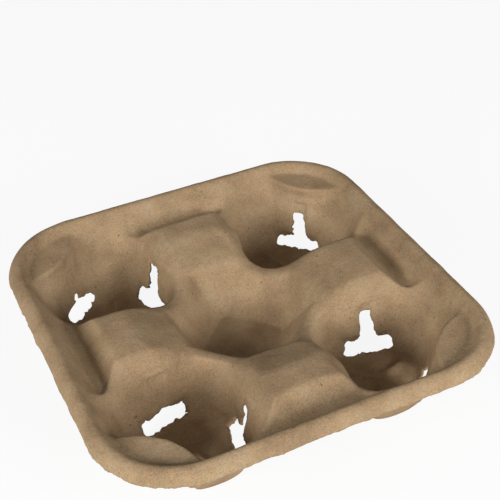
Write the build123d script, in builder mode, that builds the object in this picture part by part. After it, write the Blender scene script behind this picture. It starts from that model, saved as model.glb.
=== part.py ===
from build123d import *
from math import cos, hypot, radians
import os

# Four-cup carrier tray, moulded in one piece from paper pulp. Millimetres.
# The origin is the middle of the footprint, on the plane the four feet stand on.
# The shell is the difference of two stacked forms: the solid under the upper
# surface, less the same solid with every face moved inwards by the wall.

SIDE = 216.0            # overall width and depth, at the trimmed edge of the rim
HEIGHT = 47.0           # feet to the crest of the rim
WALL = 2.0              # thickness of the pulp
CORNER_R = 45.0         # plan radius of the tray's corners, at the trimmed edge

RIM_DROP = 7.5          # crest down to the trimmed edge
RIM_LEAN = 2.6          # how far the crest's outer edge sits inside the trimmed edge
RIM_ROUND = 4.6         # rounding of the crest on the outside
BEAD_W = 9.2            # trimmed edge to the inner foot of the rolled rim, at the crest
BEAD_LEAN = 2.2         # how far the inner face of the rim leans, crest to deck

DECK_DROP = 5.5         # crest down to the pads' tops and the corner panels

WELL_INSET = 53.7       # cup well centres, in from the trimmed edge along both axes
WELL_FLAT = 23.5        # well centre to its three flat panels, at the floor
WELL_LOBE = 29.5        # well centre to the ends of its three lobes, at the floor
FLOOR_ROUND = 5.0       # rounding where a well's walls meet its floor
THROAT_DROP = 8.5       # deck down to where the nearly upright walls begin to flare
THROAT_FLAT = 28.2
THROAT_LOBE = 37.5
MOUTH_FLAT = 32.4       # the same two distances where the flare meets the deck
MOUTH_LOBE = 43.4
MOUTH_SHIFT = 1.5       # the mouth sits this much nearer the middle, along both axes

RIB_W = 7.0             # three raised ribs on each well's floor, running to its lobes
RIB_H = 1.2
RIB_REACH = 21.0

BOWL_Z = 8.0            # floor of the middle bowl, a square standing on its corner
BOWL_SIDE = 18.4        # middle to the flat sides of that square
BOWL_TIP = 23.2         # middle to its clipped corners
BOWL_TOP_DROP = 6.1     # deck down to where the pads' sloping noses begin
BOWL_TOP_SIDE = 37.6    # the same two distances at that level
BOWL_TOP_TIP = 38.4
BOWL_ROUND = 2.0        # rounding round the bowl's floor
NOSE_END = 60.0         # middle to the line where a pad turns flat
SADDLE_DROP = 10.5      # deck down to the crest between the bowl and each well
SADDLE_W = 23.0         # its width, at the crest and at the deck
SADDLE_TOP_W = 47.0
SADDLE_FROM = 20.0      # the saddle cut runs from here to the well's centre

PAD_INSET = 30.4        # trimmed edge to the outer edge of a pad's flat top
GROOVE_DROP = 8.2       # deck down to the bottom of the groove beside a pad
GROOVE_INSET = 22.6     # its bottom runs between these two distances from the edge
GROOVE_OUT_INSET = 17.0
GROOVE_TOP_INSET = 12.4  # outer side of the groove at the deck
GROOVE_HALF = 28.0      # half its length at the bottom and at the deck
GROOVE_TOP_HALF = 35.0

SLOT_BITE = 2.0         # inverted-T slots, one in each flat panel of each well: their
SLOT_FOOT_W = 26.5      # feet start this far inside the panel's foot, in the floor
SLOT_FOOT_TOP = 9.5
SLOT_STEM_W = 8.0
SLOT_STEM_TOP = 25.5
SLOT_ROUND = 1.6

DECK_Z = HEIGHT - DECK_DROP
THROAT_Z = DECK_Z - THROAT_DROP
BOWL_TOP_Z = DECK_Z - BOWL_TOP_DROP
SADDLE_Z = DECK_Z - SADDLE_DROP
GROOVE_Z = DECK_Z - GROOVE_DROP
WELL_C = SIDE / 2 - WELL_INSET
PAD_EDGE = SIDE / 2 - PAD_INSET
GROOVE_IN = SIDE / 2 - GROOVE_INSET
GROOVE_OUT = SIDE / 2 - GROOVE_OUT_INSET
GROOVE_TOP_OUT = SIDE / 2 - GROOVE_TOP_INSET
SLOT_IN = WELL_FLAT - SLOT_BITE

BELOW = 4.0             # how far the stacked forms run below the feet
OVER = 3.0              # how far cutters stand above the crest
PANELS = (45.0, 165.0, 285.0)
LOBES = (105.0, 225.0, 345.0)
QUARTERS = (0.0, 90.0, 180.0, 270.0)


def run(low, high, low_z, high_z, z, gap):
    """Distance to a leaning wall at level z, with the wall moved out by gap."""
    lean = (high - low) / (high_z - low_z)
    return low + lean * (z - low_z) + gap * hypot(1.0, lean)


def rounded_square(half, z):
    """Square of the rim's family: every one shares the corner centres."""
    with BuildSketch(Plane.XY.offset(z)) as plan:
        RectangleRounded(2 * half, 2 * half, CORNER_R - (SIDE / 2 - half))
    return plan.sketch


def rounded_triangle(centre, flat, lobe, z):
    """Plan of a cup well: three flat panels and three round lobes."""
    with BuildSketch(Plane.XY.offset(z)) as plan:
        with Locations((centre, centre)):
            RegularPolygon(2 * flat, 3, rotation=LOBES[0])
        fillet(plan.vertices(), 2 * flat - lobe)
    return plan.sketch


def square(half, z, turn=0.0):
    with BuildSketch(Plane.XY.offset(z)) as plan:
        Rectangle(2 * half, 2 * half, rotation=turn)
    return plan.sketch


def rim_block(gap, core_half):
    """Everything under the rim: the leaning outer face over a straight core."""
    edge_z = HEIGHT - RIM_DROP
    with BuildPart() as block:
        loft([rounded_square(SIDE / 2 - gap, edge_z),
              rounded_square(SIDE / 2 - RIM_LEAN - gap, HEIGHT - gap)])
        fillet(block.faces().sort_by(Axis.Z)[-1].edges(), RIM_ROUND - gap)
        extrude(rounded_square(core_half, edge_z), amount=-edge_z - BELOW - gap)
    return block.part


def rim_recess(gap):
    """The shallow tray inside the rim, down to the deck."""
    low, high = SIDE / 2 - BEAD_W - BEAD_LEAN, SIDE / 2 - BEAD_W
    floor_z = DECK_Z - gap
    top_z = HEIGHT - gap
    with BuildPart() as recess:
        loft([rounded_square(run(low, high, DECK_Z, HEIGHT, floor_z, gap), floor_z),
              rounded_square(run(low, high, DECK_Z, HEIGHT, top_z, gap), top_z)])
        extrude(rounded_square(run(low, high, DECK_Z, HEIGHT, top_z, gap), top_z), amount=OVER + gap)
    return recess.part


def well(gap):
    """One cup well: upright walls, then a flared mouth."""
    mouth = rounded_triangle(WELL_C - MOUTH_SHIFT, MOUTH_FLAT + gap, MOUTH_LOBE + gap, DECK_Z)
    throat = rounded_triangle(WELL_C, THROAT_FLAT + gap, THROAT_LOBE + gap, THROAT_Z)
    with BuildPart() as hollow:
        loft([rounded_triangle(WELL_C, WELL_FLAT + gap, WELL_LOBE + gap, WALL - gap), throat], ruled=True)
        fillet(hollow.faces().sort_by(Axis.Z)[0].edges(), FLOOR_ROUND + gap)
        loft([throat, mouth], ruled=True)
        extrude(mouth, amount=HEIGHT - DECK_Z + OVER)
        ribs(gap)
    return hollow.part


def ribs(gap):
    """Cut the raised floor ribs out of the well being built."""
    floor_z = WALL - gap
    with BuildSketch(Plane.XY.offset(floor_z)) as plan:
        with Locations([Location((WELL_C, WELL_C), lobe) for lobe in LOBES]):
            Rectangle(RIB_REACH, RIB_W - 2 * gap, align=(Align.MIN, Align.CENTER))
    extrude(plan.sketch, amount=RIB_H, mode=Mode.SUBTRACT)


def bowl(gap):
    """The middle bowl: four walls to the saddles, four to the pads."""
    levels = (BOWL_Z - gap, BOWL_TOP_Z)
    sides = [run(BOWL_SIDE, BOWL_TOP_SIDE, BOWL_Z, BOWL_TOP_Z, z, gap) for z in levels]
    tips = [run(BOWL_TIP, BOWL_TOP_TIP, BOWL_Z, BOWL_TOP_Z, z, gap) for z in levels]
    with BuildPart() as hollow:
        loft([square(half, z, 45.0) for half, z in zip(sides, levels)])
        loft([square(half, z) for half, z in zip(tips, levels)], mode=Mode.INTERSECT)
        fillet(hollow.faces().sort_by(Axis.Z)[0].edges(), BOWL_ROUND + gap)
    return hollow.part


def noses(gap):
    """The shallow pyramid that gives the pads their sloping noses."""
    top_z = DECK_Z + OVER
    levels = (BOWL_TOP_Z, top_z)
    halves = [run(BOWL_TOP_TIP, NOSE_END, BOWL_TOP_Z, DECK_Z, z, gap) for z in levels]
    with BuildPart() as hollow:
        loft([square(half, z) for half, z in zip(halves, levels)])
    return hollow.part


def saddle(gap):
    """The dip between the bowl and one well, cut along the diagonal."""
    low_z = SADDLE_Z - gap
    low = run(SADDLE_W / 2, SADDLE_TOP_W / 2, SADDLE_Z, DECK_Z, low_z, gap)
    high = run(SADDLE_W / 2, SADDLE_TOP_W / 2, SADDLE_Z, DECK_Z, HEIGHT, gap)
    along = Plane(origin=(0, 0, 0), x_dir=(-1, 1, 0), z_dir=(1, 1, 0)).offset(SADDLE_FROM)
    with BuildPart() as hollow:
        with BuildSketch(along):
            with BuildLine():
                Polyline((-low, low_z), (low, low_z), (high, HEIGHT), (-high, HEIGHT), close=True)
            make_face()
        extrude(amount=hypot(WELL_C, WELL_C) - SADDLE_FROM)
    return hollow.part


def groove(gap):
    """The trough between one pad and the rim."""
    levels = (GROOVE_Z - gap, DECK_Z + OVER / 3)
    plans = []
    for z in levels:
        inner = run(GROOVE_IN, PAD_EDGE, GROOVE_Z, DECK_Z, z, -gap)
        outer = run(GROOVE_OUT, GROOVE_TOP_OUT, GROOVE_Z, DECK_Z, z, gap)
        half = run(GROOVE_HALF, GROOVE_TOP_HALF, GROOVE_Z, DECK_Z, z, gap)
        with BuildSketch(Plane.XY.offset(z)) as plan:
            with Locations((0, (inner + outer) / 2)):
                Rectangle(2 * half, outer - inner)
        plans.append(plan.sketch)
    with BuildPart() as hollow:
        loft(plans)
    return hollow.part


def all_round(part):
    return [part.rotate(Axis.Z, turn) for turn in QUARTERS]


def form(gap, core_half):
    """The solid under the upper surface, every face moved inwards by gap."""
    cuts = [rim_recess(gap), bowl(gap), noses(gap)]
    cuts += all_round(saddle(gap)) + all_round(groove(gap)) + all_round(well(gap))
    block = rim_block(gap, core_half)
    with BuildPart() as body:
        add(block)
        add(cuts, mode=Mode.SUBTRACT)
    return body.part


def slots():
    """Inverted-T slots through the three flat panels of one well."""
    reach = THROAT_FLAT + 2 * WALL - SLOT_IN
    with BuildPart() as cutter:
        for panel in PANELS:
            face = Plane(origin=(WELL_C, WELL_C, 0), x_dir=(0, 0, 1),
                         z_dir=(cos(radians(panel)), cos(radians(panel - 90.0)), 0))
            with BuildSketch(face.offset(SLOT_IN)) as outline:
                with Locations((SLOT_FOOT_TOP / 2 - WALL, 0)):
                    Rectangle(SLOT_FOOT_TOP + 2 * WALL, SLOT_FOOT_W)
                with Locations((SLOT_STEM_TOP / 2, 0)):
                    Rectangle(SLOT_STEM_TOP, SLOT_STEM_W)
                fillet(outline.vertices(), SLOT_ROUND)
            extrude(amount=reach)
    return cutter.part


upper = form(0.0, SIDE / 2 - 2 * WALL)
lower = form(WALL, SIDE / 2 - WALL)
slot_cuts = all_round(slots())

with BuildPart() as cup_tray:
    add(upper)
    add(lower, mode=Mode.SUBTRACT)
    add(slot_cuts, mode=Mode.SUBTRACT)

cup_tray.part.label = "cup_tray"
os.makedirs("parts", exist_ok=True)
export_step(cup_tray.part, "parts/cup_tray.step")
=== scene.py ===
import bpy, math
import numpy as np
from mathutils import Matrix, Vector


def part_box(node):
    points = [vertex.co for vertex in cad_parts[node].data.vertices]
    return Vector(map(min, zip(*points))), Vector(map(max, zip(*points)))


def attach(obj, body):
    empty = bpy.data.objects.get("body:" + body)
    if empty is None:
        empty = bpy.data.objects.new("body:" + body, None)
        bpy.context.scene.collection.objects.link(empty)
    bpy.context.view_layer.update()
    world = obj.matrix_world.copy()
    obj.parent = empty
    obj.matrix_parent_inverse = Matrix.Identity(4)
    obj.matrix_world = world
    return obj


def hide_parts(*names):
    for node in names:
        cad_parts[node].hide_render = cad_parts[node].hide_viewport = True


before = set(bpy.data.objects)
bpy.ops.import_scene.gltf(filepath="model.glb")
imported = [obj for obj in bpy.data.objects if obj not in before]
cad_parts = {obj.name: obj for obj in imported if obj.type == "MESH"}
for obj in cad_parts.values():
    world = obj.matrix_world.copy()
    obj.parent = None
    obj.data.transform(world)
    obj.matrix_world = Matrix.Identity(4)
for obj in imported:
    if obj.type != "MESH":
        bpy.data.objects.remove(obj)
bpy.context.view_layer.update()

# Sizes are in mm, with the origin in the middle of the footprint, on the floor.
LOW, HIGH = [np.array(c) * 1000.0 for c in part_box("cup_tray")]
HALF = (HIGH[0] - LOW[0]) / 2
TOP = HIGH[2] - LOW[2]
WALL = 2.0
CORNER_C = HALF - 45.0          # centres of the tray's corner arcs
EDGE_Z = TOP - 7.5              # trimmed edge of the rim
DECK_Z = TOP - 5.5              # pads' tops and corner cheeks
RIM_LEAN = 2.4 / 7.5
FLANGE_W = 7.0                  # the rim is trimmed only this far in from its edge
RECESS_IN, WELL_STOP_IN = 11.2, 10.8    # edge to the recess wall and to a well's limit
RECESS_LEAN = 0.42
CROWN_H, CROWN_HALF = 1.7, 18.0         # the pads' tops bulge by this, over this half length
CROWN_EDGE, CROWN_FADE = 86.0, 8.0
NOSE_Z, NOSE_M, NOSE_SLOPE = 35.4, 38.4, 0.34
BOWL_Z, BOWL_H = 8.0, 27.4
BOWL_SIDE, BOWL_SIDE_GROW = 18.4, 19.2  # half width at the floor, and its growth to the top
BOWL_TIP, BOWL_TIP_GROW = 24.2, 14.2    # middle to the clipped corners, likewise
SADDLE_Z, SADDLE_HALF, SADDLE_FLARE = 31.0, 11.5, 1.14
SADDLE_MID, SADDLE_REACH = 41.0, 21.0
GROOVE_Z, GROOVE_IN, GROOVE_OUT = 33.3, 85.4, 91.0
GROOVE_HALF = 28.5
OPEN_LEFT, OPEN_BACK, OPEN_FRONT = 8.0, 5.0, 6.0    # three grooves run on into a well
WELL_C = 54.3
PROFILE_Z = (2, 33, 41.5, 47)           # floor, throat, deck and crest of the rim
PANEL_R = (23.5, 28.2, 33.4, 36.4)      # well centre to its flat panels at those levels
LOBE_R = (29.5, 37.2, 44.0, 46.5)       # and to the ends of its lobes
SWELL_Z, SWELL = (20, 33, 41.5, 47), (0.0, 0.006, 0.016, 0.016)     # outer panel's bulge
SCOOP_Z, SCOOP = (6, 33, 41.5, 47), (0.0, 5.5, 3.6, 3.6)    # hollow beside the pads' outer ends
SCOOP_DEG, SCOOP_SPREAD = 92.0, 19.0
RIB_HALF, RIB_H, RIB_REACH = 2.3, 2.0, 22
UNEVEN = 0.15                           # unevenness of the well floors
FILM_DEPTH, FILM_HALF, FILM_TOP = 0.9, 4.6, 32.0
SLOT_IN, STEM_IN = 21.4, 23.0           # well centre to where a slot's foot and stem begin
VOXEL = 0.9
MAX_TRIS = 190000
SEED = 7


def smax(a, b, k):
    """The larger of two fields, with the edge between them rounded over k mm."""
    h = np.maximum(k - np.abs(a - b), 0.0) / k
    return np.maximum(a, b) + h * h * (k / 4)


def cloud(shape, size, seed):
    """Smooth noise of unit spread whose blobs are size voxels wide."""
    rng = np.random.default_rng(seed)
    f = np.fft.rfftn(rng.standard_normal(shape).astype(np.float32))
    kx = np.fft.fftfreq(shape[0])[:, None, None]
    ky = np.fft.fftfreq(shape[1])[None, :, None]
    kz = np.fft.rfftfreq(shape[2])[None, None, :]
    f *= np.exp(-(kx * kx + ky * ky + kz * kz) * (size * 2.2) ** 2)
    out = np.fft.irfftn(f, s=shape).astype(np.float32)
    return out / out.std()


def curve(z, xs, ys, soft):
    """A line through points, softened over soft mm, and its slope."""
    fine = np.arange(xs[0] - 20.0, xs[-1] + 20.0, 0.25)
    line = np.interp(fine, xs, ys)
    line += np.minimum(fine - xs[0], 0) * (ys[1] - ys[0]) / (xs[1] - xs[0])
    line += np.maximum(fine - xs[-1], 0) * (ys[-1] - ys[-2]) / (xs[-1] - xs[-2])
    n = int(soft / 0.25) | 1
    pad = np.pad(line, n // 2, mode="edge")
    line = np.convolve(pad, np.ones(n) / n, mode="valid")
    return np.interp(z, fine, line), np.interp(z, fine, np.gradient(line, 0.25))


def triangle(px, py, r):
    """Distance to an equilateral triangle of half side r pointing along +y."""
    k = math.sqrt(3.0)
    px = np.abs(px) - r
    py = py + r / k
    flip = px + k * py > 0
    qx = np.where(flip, (px - k * py) / 2, px)
    qy = np.where(flip, (-k * px - py) / 2, py)
    qx = qx - np.clip(qx, -2 * r, 0.0)
    return -np.hypot(qx, qy) * np.sign(qy)


def well_field(x, y, z, deg, noise):
    """One well, negative inside; deg is the way its outer panel faces."""
    a = math.radians(deg)
    flat, lean = curve(z, PROFILE_Z, PANEL_R, 2.0)
    lobe, lean2 = curve(z, PROFILE_Z, LOBE_R, 3.0)
    u = x * math.cos(a) + y * math.sin(a)
    v = -x * math.sin(a) + y * math.cos(a)
    swell, _ = curve(z, SWELL_Z, SWELL, 4.0)
    u = u - swell * np.minimum(v * v, 900.0) * np.clip(u / 22.0, 0, 1)
    e = 2 * (lobe - flat)
    rho = 2 * flat - lobe
    side = triangle(v, -u, e * math.sqrt(3) / 2) - rho
    side = side / np.hypot(1.0, (lean + lean2) / 2)
    turn = np.degrees(np.arctan2(np.abs(v), u))
    scoop, _ = curve(z, SCOOP_Z, SCOOP, 4.0)
    r = np.hypot(u, v)
    side = side - scoop * np.exp(-((turn - SCOOP_DEG) / SCOOP_SPREAD) ** 2) * np.clip(r / 15.0, 0, 1)
    rib = np.zeros_like(u)
    for k in (60.0, 180.0, 300.0):
        c, s = math.cos(math.radians(k)), math.sin(math.radians(k))
        along, across = u * c + v * s, -u * s + v * c
        bump = np.exp(-(across / RIB_HALF) ** 2)
        ends = np.clip(along / 2 + 1, 0, 1) * np.clip((RIB_REACH - r) / 5, 0, 1)
        rib = np.maximum(rib, bump * ends)
    bottom = 2.0 + RIB_H * rib + UNEVEN * noise
    return smax(side, bottom - z, 6.5)


def tray_field(x, y, z):
    """Distance to the upper surface without the wells, negative under it.

    Also returns the distance from the middle in the rim's rounded-square
    metric, and the field that stops the wells at the rim.
    """
    ax, ay = np.abs(x), np.abs(y)
    m, o = np.maximum(ax, ay), np.minimum(ax, ay)
    q1, q2 = ax - CORNER_C, ay - CORNER_C
    s = np.hypot(np.maximum(q1, 0), np.maximum(q2, 0)) + np.minimum(np.maximum(q1, q2), 0) + CORNER_C
    outer = (s - (HALF - (z - EDGE_Z) * RIM_LEAN)) / math.hypot(1, RIM_LEAN)
    f = smax(outer, z - TOP, 6.0)

    crown = CROWN_H * np.exp(-(o / CROWN_HALF) ** 4) * np.clip((CROWN_EDGE - m) / CROWN_FADE, 0, 1)
    wall = (s - (HALF - RECESS_IN + (z - DECK_Z) * RECESS_LEAN)) / math.hypot(1, RECESS_LEAN)
    recess = smax(wall, DECK_Z + crown - z, 1.8)
    f = smax(f, -recess, 4.0)

    nose = (NOSE_Z + (m - NOSE_M) * NOSE_SLOPE - z) / math.hypot(1, NOSE_SLOPE)
    f = smax(f, -nose, 1.0)

    t = (z - BOWL_Z) / BOWL_H
    side = (ax + ay) / math.sqrt(2) - (BOWL_SIDE + BOWL_SIDE_GROW * t)
    tip = m - (BOWL_TIP + BOWL_TIP_GROW * t)
    bowl = smax(smax(side / 1.22, tip / 1.12, 1.0), BOWL_Z - z, 0.5)
    f = smax(f, -bowl, 1.8)

    across = np.abs(ax - ay) / math.sqrt(2)
    along = (ax + ay) / math.sqrt(2)
    dip = smax((across - (SADDLE_HALF + (z - SADDLE_Z) * SADDLE_FLARE)) / 1.5, SADDLE_Z - z, 6.0)
    dip = smax(dip, np.abs(along - SADDLE_MID) - SADDLE_REACH, 3.0)
    f = smax(f, -dip, 3.0)

    g = z - GROOVE_Z
    trough = smax((GROOVE_IN - 0.951 * g - m) / 1.38, (m - (GROOVE_OUT + 0.62 * g)) / 1.18, 1.5)
    left, back, front = (x < 0) & (ax > ay), (y > 0) & (ay > ax), (y < 0) & (ay > ax)
    ends = (GROOVE_HALF + OPEN_LEFT * (left & (y > 0)) + OPEN_BACK * (back & (x < 0))
            + OPEN_FRONT * (front & (x < 0)))
    trough = smax(trough, (o - (ends + 0.95 * g)) / 1.38, 6.0)
    trough = smax(trough, -g, 0.8)

    stop = (s - (HALF - WELL_STOP_IN + (z - DECK_Z) * RECESS_LEAN)) / math.hypot(1, RECESS_LEAN)
    return smax(f, -trough, 1.0), s, stop


def film(px, py, z, deg, spec):
    """Depth of the thinner, pressed-back film round one slot."""
    a = math.radians(deg)
    n = px * math.cos(a) + py * math.sin(a)
    t = -px * math.sin(a) + py * math.cos(a) - spec[4]
    strip = (np.clip((FILM_HALF - np.abs(t)) / 0.7, 0, 1) * np.clip((FILM_TOP - z) / 1.0, 0, 1)
             * np.clip((z - 11.0) / 2, 0, 1))
    foot = (np.clip((spec[0] + 1.6 - np.abs(t)) / 0.7, 0, 1)
            * np.clip((spec[1] + 1.8 - z) / 0.7, 0, 1))
    on_wall = np.clip((n - 18) / 3, 0, 1)
    off_floor = np.clip((z - 3.5) / 2.5, 0, 1)
    return FILM_DEPTH * np.maximum(strip, foot) * on_wall * off_floor


def slot_field(n, t, z, spec, noise):
    """One inverted-T slot, negative inside. n is outwards, t along the panel."""
    foot_w, foot_top, stem_w, stem_top, shift, tilt = spec
    t = t - shift
    rag = noise * 0.45
    foot_lid = z - foot_top - tilt * t + np.abs(t) * 0.10 + rag
    foot = smax(np.abs(t) - foot_w + rag, foot_lid, 2.0)
    foot = smax(foot, SLOT_IN - n + rag, 2.0)
    taper = stem_w * (1.25 - 0.5 * np.clip(z / stem_top, 0, 1))
    stem = smax(np.abs(t - 0.12 * (z - 15)) - taper + rag, z - stem_top + rag, 2.0)
    stem = smax(stem, STEM_IN - n, 2.0)
    body = -smax(-foot, -stem, 2.0)
    return smax(body, np.abs(n - 27.0) - 8.0, 1.0)


# The slots of each well, named by the signs of its centre: outer panel first, then
# the other two anticlockwise. Each has its foot's half width and top, its stem's
# half width and top, a shift along the panel and the tilt of the foot's top.
SLOTS = {
    (1, 1): ((13.0, 8.5, 3.8, 24.5, -0.5, 0.0),
             (12.0, 9.0, 3.4, 25.0, 0.0, 0.1),
             (12.5, 8.5, 3.6, 24.0, 0.5, -0.1)),
    (-1, 1): ((13.0, 9.5, 2.2, 14.0, -3.0, 0.1),
              (12.5, 9.5, 3.6, 26.0, 0.5, 0.1),
              (13.0, 9.5, 5.0, 27.5, -1.0, 0.0)),
    (-1, -1): ((12.5, 9.0, 3.6, 24.0, 0.0, 0.1),
               (13.0, 9.5, 3.4, 26.0, 0.0, 0.0),
               (13.5, 8.6, 1.6, 11.0, -2.0, 0.0)),
    (1, -1): ((12.5, 9.5, 3.8, 25.0, 0.5, 0.1),
              (13.5, 9.6, 4.2, 26.0, -1.0, 0.0),
              (12.5, 9.0, 3.6, 24.0, 0.0, -0.1)),
}


def near(gx, sign, low, high):
    """Grid columns from low to high mm out on one side."""
    return np.where((gx * sign > low) & (gx * sign < high))[0]


def build_field():
    """The shell as a field on a grid: negative in the pulp."""
    n = int(math.ceil((HALF + 3.0) / VOXEL))
    gx = (np.arange(-n, n + 1) * VOXEL).astype(np.float32)
    gz = np.arange(-3.0 * VOXEL, TOP + 3.0 * VOXEL, VOXEL).astype(np.float32)
    x, y, z = gx[:, None, None], gx[None, :, None], gz[None, None, :]
    shape = (len(gx), len(gx), len(gz))
    soft, fine = cloud(shape, 6.0 / VOXEL, SEED), cloud(shape, 1.5 / VOXEL, SEED + 1)
    f, s, stop = tray_field(x, y, z)
    for (sx, sy), specs in SLOTS.items():
        bx, by = near(gx, sx, -8, 108), near(gx, sy, -8, 108)
        cut = np.ix_(bx, by, np.arange(shape[2]))
        deg = math.degrees(math.atan2(sy, sx))
        inward = 1.4 * np.clip((z - 33) / 8.5, 0, 1) + 1.8 * np.clip((z - 36) / 5.5, 0, 1)
        px = gx[bx][:, None, None] - sx * (WELL_C - inward)
        py = gx[by][None, :, None] - sy * (WELL_C - inward)
        w = well_field(px, py, z, deg, soft[cut])
        for k, spec in enumerate(specs):
            w = w - film(px, py, z, deg + 120.0 * k, spec)
        w = smax(w, stop[cut], 5.0)
        f[cut] = smax(f[cut], -w, 1.7)
    f = f + 0.05 * soft + 0.02 * fine
    g = np.abs(f + WALL / 2) - WALL / 2
    rag = 0.16 * soft + 0.12 * fine
    trim = np.maximum(z - (EDGE_Z + rag), (HALF - FLANGE_W) - s)
    g = smax(g, -trim, 0.8)
    for (sx, sy), specs in SLOTS.items():
        bx, by = near(gx, sx, 8, 100), near(gx, sy, 8, 100)
        cut = np.ix_(bx, by, np.arange(shape[2]))
        px = gx[bx][:, None, None] - sx * WELL_C
        py = gx[by][None, :, None] - sy * WELL_C
        deg = math.degrees(math.atan2(sy, sx))
        for k, spec in enumerate(specs):
            a = math.radians(deg + 120.0 * k)
            out = px * math.cos(a) + py * math.sin(a)
            side = -px * math.sin(a) + py * math.cos(a)
            g[cut] = smax(g[cut], -slot_field(out, side, z, spec, fine[cut]), 0.7)
    return gx, gz, g


def surface_net(gx, gz, g):
    """Quads over the zero level of the field, one vertex per crossed cell."""
    nx, ny, nz = g.shape
    inside = g < 0
    sumv = np.zeros((nx - 1, ny - 1, nz - 1, 3), np.float32)
    count = np.zeros((nx - 1, ny - 1, nz - 1), np.float32)
    for axis in range(3):
        lo, hi = [slice(None)] * 3, [slice(None)] * 3
        lo[axis], hi[axis] = slice(0, -1), slice(1, None)
        a, b = g[tuple(lo)], g[tuple(hi)]
        cross = inside[tuple(lo)] != inside[tuple(hi)]
        t = np.where(cross, a / np.where(cross, a - b, 1.0), 0.0)
        others = [k for k in range(3) if k != axis]
        for da in (0, 1):
            for db in (0, 1):
                sl = [None] * 3
                sl[axis] = slice(None)
                sl[others[0]] = slice(da, da + g.shape[others[0]] - 1)
                sl[others[1]] = slice(db, db + g.shape[others[1]] - 1)
                c, tt = cross[tuple(sl)], t[tuple(sl)]
                count += c
                sumv[..., axis] += np.where(c, tt, 0)
                sumv[..., others[0]] += c * da
                sumv[..., others[1]] += c * db
    used = count > 0
    index = np.full(used.shape, -1, np.int64)
    index[used] = np.arange(used.sum())
    cell = np.argwhere(used)
    local = sumv[used] / count[used][:, None]
    verts = (cell + local) * VOXEL + np.array([gx[0], gx[0], gz[0]])
    quads = []
    for axis in range(3):
        u, v = (axis + 1) % 3, (axis + 2) % 3
        lo, hi = [slice(1, -1)] * 3, [slice(1, -1)] * 3
        lo[axis], hi[axis] = slice(0, -1), slice(1, None)
        a, b = inside[tuple(lo)], inside[tuple(hi)]
        pts = np.argwhere(a != b)
        pos = a[tuple(pts.T)]
        base = pts.copy()
        base[:, u] += 1
        base[:, v] += 1
        corners = []
        for du, dv in ((1, 1), (0, 1), (0, 0), (1, 0)):
            p = base.copy()
            p[:, u] -= du
            p[:, v] -= dv
            corners.append(index[tuple(p.T)])
        q = np.stack(corners, 1)
        q[~pos] = q[~pos][:, ::-1]
        quads.append(q)
    return verts, np.concatenate(quads)


def make_tray():
    """The tray's mesh, thinned to MAX_TRIS triangles."""
    gx, gz, g = build_field()
    verts, quads = surface_net(gx, gz, g)
    me = bpy.data.meshes.new("pulp_shell")
    me.vertices.add(len(verts))
    verts[:, 2] += LOW[2]
    me.vertices.foreach_set("co", (verts / 1000.0).astype(np.float32).ravel())
    me.loops.add(quads.size)
    me.loops.foreach_set("vertex_index", quads.astype(np.int32).ravel())
    me.polygons.add(len(quads))
    me.polygons.foreach_set("loop_start", np.arange(0, quads.size, 4, dtype=np.int32))
    me.polygons.foreach_set("loop_total", np.full(len(quads), 4, np.int32))
    me.update(calc_edges=True)
    me.validate()
    ob = bpy.data.objects.new("pulp_shell", me)
    bpy.context.scene.collection.objects.link(ob)
    thin = ob.modifiers.new("thin", "DECIMATE")
    thin.ratio = min(1.0, MAX_TRIS / (2.0 * len(quads)))
    graph = bpy.context.evaluated_depsgraph_get()
    ob.data = bpy.data.meshes.new_from_object(ob.evaluated_get(graph))
    ob.data.name = "pulp_shell"
    ob.modifiers.clear()
    ob.data.shade_smooth()
    return ob


AZ, EL, ROLL = math.radians(-24.33), math.radians(37.26), math.radians(-2.15)
DIST, LENS, SENSOR = 0.6185, 75.36, 36.0
TARGET = Vector((0.0316, 0.0552, 0.0235))


def camera():
    """The camera, DIST metres from TARGET."""
    back = Vector((math.sin(AZ) * math.cos(EL), -math.cos(AZ) * math.cos(EL), math.sin(EL)))
    right = Vector((math.cos(AZ), math.sin(AZ), 0.0))
    up = back.cross(right)
    c, s = math.cos(ROLL), math.sin(ROLL)
    axes = Matrix((c * right + s * up, -s * right + c * up, back)).transposed()
    cam = bpy.data.cameras.new("camera")
    cam.lens, cam.sensor_width, cam.clip_start = LENS, SENSOR, 0.01
    ob = bpy.data.objects.new("camera", cam)
    ob.matrix_world = Matrix.Translation(TARGET + back * DIST) @ axes.to_4x4()
    bpy.context.scene.collection.objects.link(ob)
    bpy.context.scene.camera = ob


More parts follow.
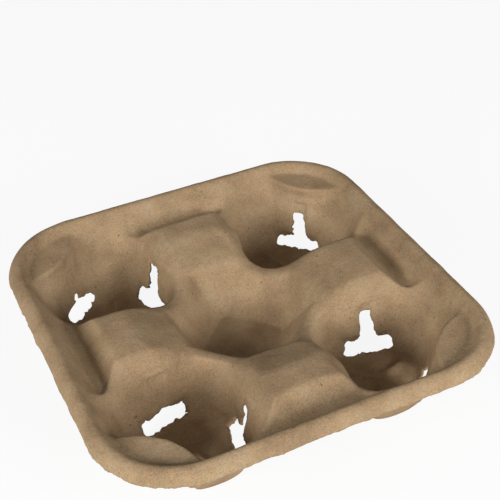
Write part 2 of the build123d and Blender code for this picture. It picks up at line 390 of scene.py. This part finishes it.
def pulp_material():
    """Grey-brown recycled fibre: mottled colour, fine grain, specks and nap."""
    mat = bpy.data.materials.new("pulp")
    mat.use_nodes = True
    nt = mat.node_tree
    bsdf = nt.nodes["Principled BSDF"]
    bsdf.inputs["Specular IOR Level"].default_value = 0.2
    tc = nt.nodes.new("ShaderNodeTexCoord")

    def node(kind, **props):
        n = nt.nodes.new(kind)
        for k, v in props.items():
            setattr(n, k, v)
        return n

    def noise(scale, detail=2.0, rough=0.5, stretch=None, distort=0.0):
        n = node("ShaderNodeTexNoise")
        n.inputs["Scale"].default_value = scale
        n.inputs["Detail"].default_value = detail
        n.inputs["Roughness"].default_value = rough
        n.inputs["Distortion"].default_value = distort
        if stretch:
            m = node("ShaderNodeMapping")
            m.inputs["Rotation"].default_value = stretch[0]
            m.inputs["Scale"].default_value = stretch[1]
            nt.links.new(tc.outputs["Object"], m.inputs["Vector"])
            nt.links.new(m.outputs["Vector"], n.inputs["Vector"])
        else:
            nt.links.new(tc.outputs["Object"], n.inputs["Vector"])
        return n.outputs["Fac"]

    def ramp(src, stops):
        r = node("ShaderNodeValToRGB")
        el = r.color_ramp.elements
        while len(el) < len(stops):
            el.new(0.5)
        for e, (p, c) in zip(el, stops):
            e.position = p
            e.color = (*c, 1.0)
        nt.links.new(src, r.inputs["Fac"])
        return r.outputs["Color"]

    def mix(mode, fac, a, b):
        m = node("ShaderNodeMix", data_type="RGBA", blend_type=mode)
        m.inputs[0].default_value = fac
        if hasattr(fac, "links"):
            nt.links.new(fac, m.inputs[0])
        nt.links.new(a, m.inputs[6])
        nt.links.new(b, m.inputs[7])
        return m.outputs[2]

    def lin(c):
        return tuple(((v / 255 + 0.055) / 1.055) ** 2.4 for v in c)

    white = (1, 1, 1)
    base = ramp(noise(55, 4, 0.6), [(0.30, lin((148, 124, 96))),
                                    (0.5, lin((164, 139, 108))),
                                    (0.72, lin((174, 151, 121)))])
    tone = ramp(noise(14, 2, 0.5), [(0.3, (0.92, 0.91, 0.90)), (0.7, white)])
    col = mix("MULTIPLY", 1.0, base, tone)
    grain = ramp(noise(1500, 3, 0.7), [(0.30, (0.66, 0.63, 0.58)), (0.50, white),
                                       (0.72, (1.22, 1.20, 1.16))])
    col = mix("MULTIPLY", 0.85, col, grain)
    tint = ramp(noise(600, 2, 0.5), [(0.35, (1.06, 0.97, 0.93)), (0.5, white),
                                     (0.65, (0.94, 1.0, 0.97))])
    col = mix("MULTIPLY", 0.9, col, tint)
    for way, dark in ((((0.3, 0.1, 0.5), (1, 5, 1)), (0.78, 0.76, 0.74)),
                      (((0.8, -0.5, -0.9), (5, 1, 1.5)), (0.80, 0.78, 0.76))):
        fibre = ramp(noise(420, 2, 0.6, way), [(0.36, dark), (0.5, white),
                                               (0.68, (1.08, 1.08, 1.08))])
        col = mix("MULTIPLY", 0.35, col, fibre)
    speck = ramp(noise(480, 1, 0.3, None, 0.6), [(0.19, (0.45, 0.39, 0.32)), (0.25, white)])
    col = mix("MULTIPLY", 0.8, col, speck)
    nt.links.new(col, bsdf.inputs["Base Color"])
    rough = node("ShaderNodeMapRange")
    rough.inputs["To Min"].default_value = 0.82
    rough.inputs["To Max"].default_value = 0.98
    nt.links.new(noise(300, 2, 0.5), rough.inputs["Value"])
    nt.links.new(rough.outputs["Result"], bsdf.inputs["Roughness"])
    nap, lumps = node("ShaderNodeBump"), node("ShaderNodeBump")
    for bump, strength, depth, height in ((nap, 0.5, 0.0006, noise(700, 4, 0.65)),
                                          (lumps, 0.45, 0.0010, noise(180, 3, 0.6))):
        bump.inputs["Strength"].default_value = strength
        bump.inputs["Distance"].default_value = depth
        nt.links.new(height, bump.inputs["Height"])
    nt.links.new(nap.outputs["Normal"], lumps.inputs["Normal"])
    nt.links.new(lumps.outputs["Normal"], bsdf.inputs["Normal"])
    return mat


def floor():
    """A pale plane that looks white in the picture and keeps a faint shadow."""
    me = bpy.data.meshes.new("floor")
    r = 3.0
    me.from_pydata([(-r, -r, 0), (r, -r, 0), (r, r, 0), (-r, r, 0)], [], [(0, 1, 2, 3)])
    ob = bpy.data.objects.new("floor", me)
    bpy.context.scene.collection.objects.link(ob)
    mat = bpy.data.materials.new("floor")
    mat.use_nodes = True
    nt = mat.node_tree
    bsdf = nt.nodes["Principled BSDF"]
    bsdf.inputs["Base Color"].default_value = (0.86, 0.86, 0.86, 1)
    bsdf.inputs["Roughness"].default_value = 0.9
    em = nt.nodes.new("ShaderNodeEmission")
    em.inputs["Strength"].default_value = 1.0
    lp = nt.nodes.new("ShaderNodeLightPath")
    fac = nt.nodes.new("ShaderNodeMath")
    fac.operation = "MULTIPLY"
    fac.inputs[1].default_value = 0.9
    mx = nt.nodes.new("ShaderNodeMixShader")
    nt.links.new(lp.outputs["Is Camera Ray"], fac.inputs[0])
    nt.links.new(fac.outputs[0], mx.inputs[0])
    nt.links.new(bsdf.outputs[0], mx.inputs[1])
    nt.links.new(em.outputs[0], mx.inputs[2])
    nt.links.new(mx.outputs[0], nt.nodes["Material Output"].inputs["Surface"])
    me.materials.append(mat)


def lights():
    """A dim dome and two soft lamps, left and right of the camera."""
    w = bpy.data.worlds.new("world")
    bpy.context.scene.world = w
    w.use_nodes = True
    nt = w.node_tree
    bg = nt.nodes["Background"]
    bg.inputs[0].default_value = (1, 1, 1, 1)
    bg.inputs[1].default_value = 0.18
    white = nt.nodes.new("ShaderNodeBackground")
    white.inputs[0].default_value = (1, 1, 1, 1)
    white.inputs[1].default_value = 1.0
    lp = nt.nodes.new("ShaderNodeLightPath")
    mx = nt.nodes.new("ShaderNodeMixShader")
    nt.links.new(lp.outputs["Is Camera Ray"], mx.inputs[0])
    nt.links.new(bg.outputs[0], mx.inputs[1])
    nt.links.new(white.outputs[0], mx.inputs[2])
    nt.links.new(mx.outputs[0], nt.nodes["World Output"].inputs[0])
    for name, pos, power in (("left", (-1.12, -0.45, 0.55), 14.0),
                             ("right", (0.45, -1.12, 0.55), 13.0)):
        la = bpy.data.lights.new(name, "AREA")
        la.size, la.energy = 0.5, power
        ob = bpy.data.objects.new(name, la)
        ob.location = pos
        ob.rotation_euler = (-Vector(pos)).to_track_quat("-Z", "Y").to_euler()
        bpy.context.scene.collection.objects.link(ob)


tray = make_tray()
tray.data.materials.append(pulp_material())
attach(tray, "root")
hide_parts("cup_tray")
floor()
lights()
camera()
bpy.context.scene.view_settings.view_transform = "Standard"
